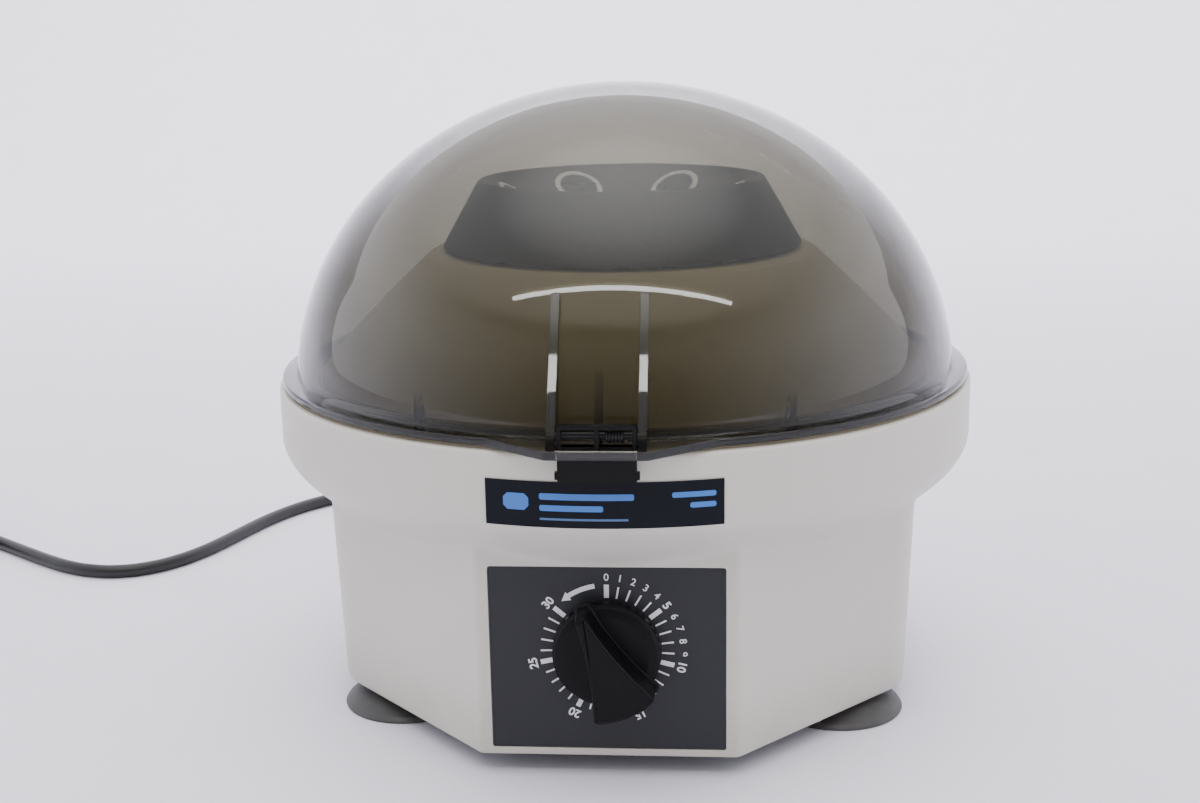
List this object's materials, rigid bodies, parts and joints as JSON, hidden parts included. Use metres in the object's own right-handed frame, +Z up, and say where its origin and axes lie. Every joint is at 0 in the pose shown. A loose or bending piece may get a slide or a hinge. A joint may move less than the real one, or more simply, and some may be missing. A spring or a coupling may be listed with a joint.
{
  "type": "laboratory centrifuge",
  "caption": "Bench centrifuge: round collar on an eight-sided body, hinged clear dome with front latch, angle rotor with tube shields, dial timer, suction feet and mains cord.",
  "frame": {"origin": "on the bench under the rotor axis, which is the centre of the box of everything but the cord", "axes": "+Z up along the rotor axis, -Y to the front where the timer and latch are, +X to the right seen from the front"},
  "size_m": [0.634, 0.42, 0.2608],
  "materials": {
    "housing_plastic": "fine moulded texture",
    "base_plastic": "matte",
    "fastener_steel": "zinc plated",
    "foot_rubber": "soft matte",
    "bowl_enamel": "satin",
    "seal_rubber": "matte",
    "panel_dark": "satin",
    "label_dark": "gloss film",
    "timer_plastic": "matte",
    "brass_parts": "turned",
    "motor_steel": "satin",
    "winding_copper": "varnished",
    "cast_aluminium": "as cast",
    "bright_steel": "turned",
    "cord_rubber": "satin",
    "black_plastic": "satin",
    "rotor_grey": "satin",
    "chrome_parts": "polished",
    "shield_metal": "satin",
    "smoked_clear": "polished smoked acrylic",
    "latch_plastic": "semi gloss",
    "knob_plastic": "semi gloss"
  },
  "bodies": {
    "base": {"housing": "housing_plastic", "base_plate": "base_plastic", "base_screws": "fastener_steel", "foot_front_left": "foot_rubber", "foot_front_right": "foot_rubber", "foot_rear_left": "foot_rubber", "foot_rear_right": "foot_rubber", "foot_studs": "fastener_steel", "bowl": "bowl_enamel", "bowl_seal": "seal_rubber", "bowl_screws": "fastener_steel", "rotor_guard": "bowl_enamel", "panel_plate": "panel_dark", "label_plate": "label_dark", "timer_body": "timer_plastic", "timer_bush": "brass_parts", "timer_nut": "fastener_steel", "motor_can": "motor_steel", "motor_field": "winding_copper", "motor_top_cap": "cast_aluminium", "motor_base_frame": "cast_aluminium", "motor_plate": "motor_steel", "motor_mounts": "seal_rubber", "bearing_top": "bright_steel", "bearing_bottom": "bright_steel", "brush_holders": "timer_plastic", "terminal_block": "timer_plastic", "cord_gland": "cord_rubber", "hinge_bracket": "black_plastic", "hinge_pin": "bright_steel", "hinge_screws": "fastener_steel", "latch_catch": "black_plastic", "cord": "cord_rubber", "cord_coil": "cord_rubber", "cord_tail": "cord_rubber", "cord_tie": "black_plastic", "plug_body": "cord_rubber", "plug_pins": "brass_parts"},
    "rotor": {"rotor_body": "rotor_grey", "rotor_hub": "bright_steel", "rotor_nut": "chrome_parts", "shield_1": "shield_metal", "shield_2": "shield_metal", "shield_3": "shield_metal", "shield_4": "shield_metal", "shield_5": "shield_metal", "shield_6": "shield_metal", "shield_pads": "seal_rubber", "motor_shaft": "bright_steel", "armature": "winding_copper", "commutator": "brass_parts", "fan": "black_plastic"},
    "lid": {"lid_dome": "smoked_clear", "hinge_leaf": "black_plastic", "leaf_screws": "fastener_steel", "latch_pin": "black_plastic"},
    "latch": {"latch_lever": "latch_plastic", "latch_spring": "black_plastic"},
    "knob": {"knob": "knob_plastic", "timer_shaft": "bright_steel"}
  },
  "joints": [
    {"name": "rotor_spin", "type": "hinge", "parent": "base", "child": "rotor", "pos_m": [0, 0, 0.18], "axis": [0, 0, 1], "continuous": true},
    {"name": "lid_hinge", "type": "hinge", "parent": "base", "child": "lid", "pos_m": [0, 0.154, 0.142], "axis": [-1, 0, 0], "range_deg": [0, 75]},
    {"name": "latch_pivot", "type": "hinge", "parent": "lid", "child": "latch", "pos_m": [0, -0.1525, 0.145], "axis": [-1, 0, 0], "range_deg": [0, 12], "stiffness_Nm_per_rad": 0.02, "springref_deg": -8.59},
    {"name": "timer_knob", "type": "hinge", "parent": "base", "child": "knob", "pos_m": [0, -0.13, 0.053], "axis": [0, 1, 0], "range_deg": [-16, 334]}
  ]
}
